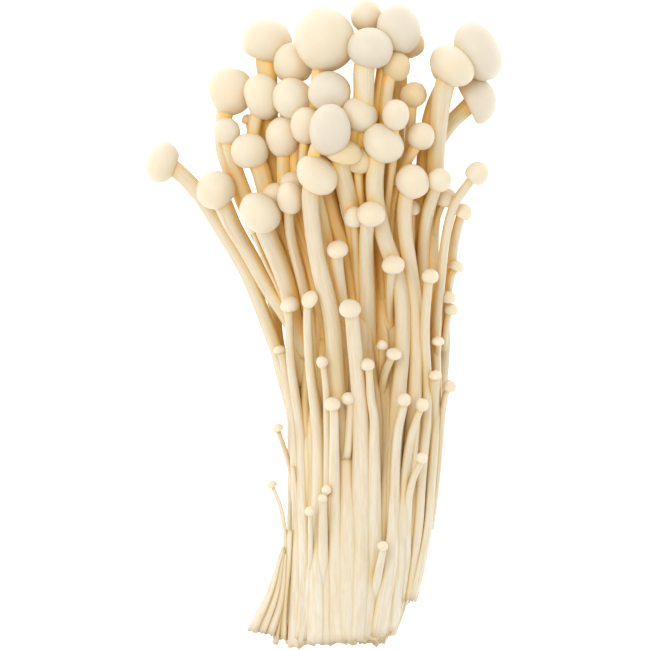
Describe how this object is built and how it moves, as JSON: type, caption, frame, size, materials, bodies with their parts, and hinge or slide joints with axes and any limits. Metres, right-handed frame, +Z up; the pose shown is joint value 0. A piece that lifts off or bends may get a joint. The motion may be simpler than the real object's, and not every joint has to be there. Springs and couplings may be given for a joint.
{
  "type": "enoki mushroom bunch",
  "caption": "Cut bunch of enoki mushrooms lying on its back: thin stems packed at the foot, opening into a crown of round button caps.",
  "frame": {"origin": "middle of the underside, on the surface that the bunch lies on", "axes": "+Y along the bunch from the cut foot to the crown, +X across it, +Z up, out of the side that shows"},
  "size_m": [0.078, 0.1418, 0.0502],
  "materials": {
    "enoki_flesh": "waxy cream mushroom flesh, satin, slightly translucent",
    "enoki_cap": "smooth waxy cap skin, satin, slightly translucent",
    "enoki_stem": "fibrous stem flesh, matt, with fine lengthwise ridges"
  },
  "bodies": {
    "root": {"enoki_bunch": "enoki_flesh"}
  },
  "joints": []
}
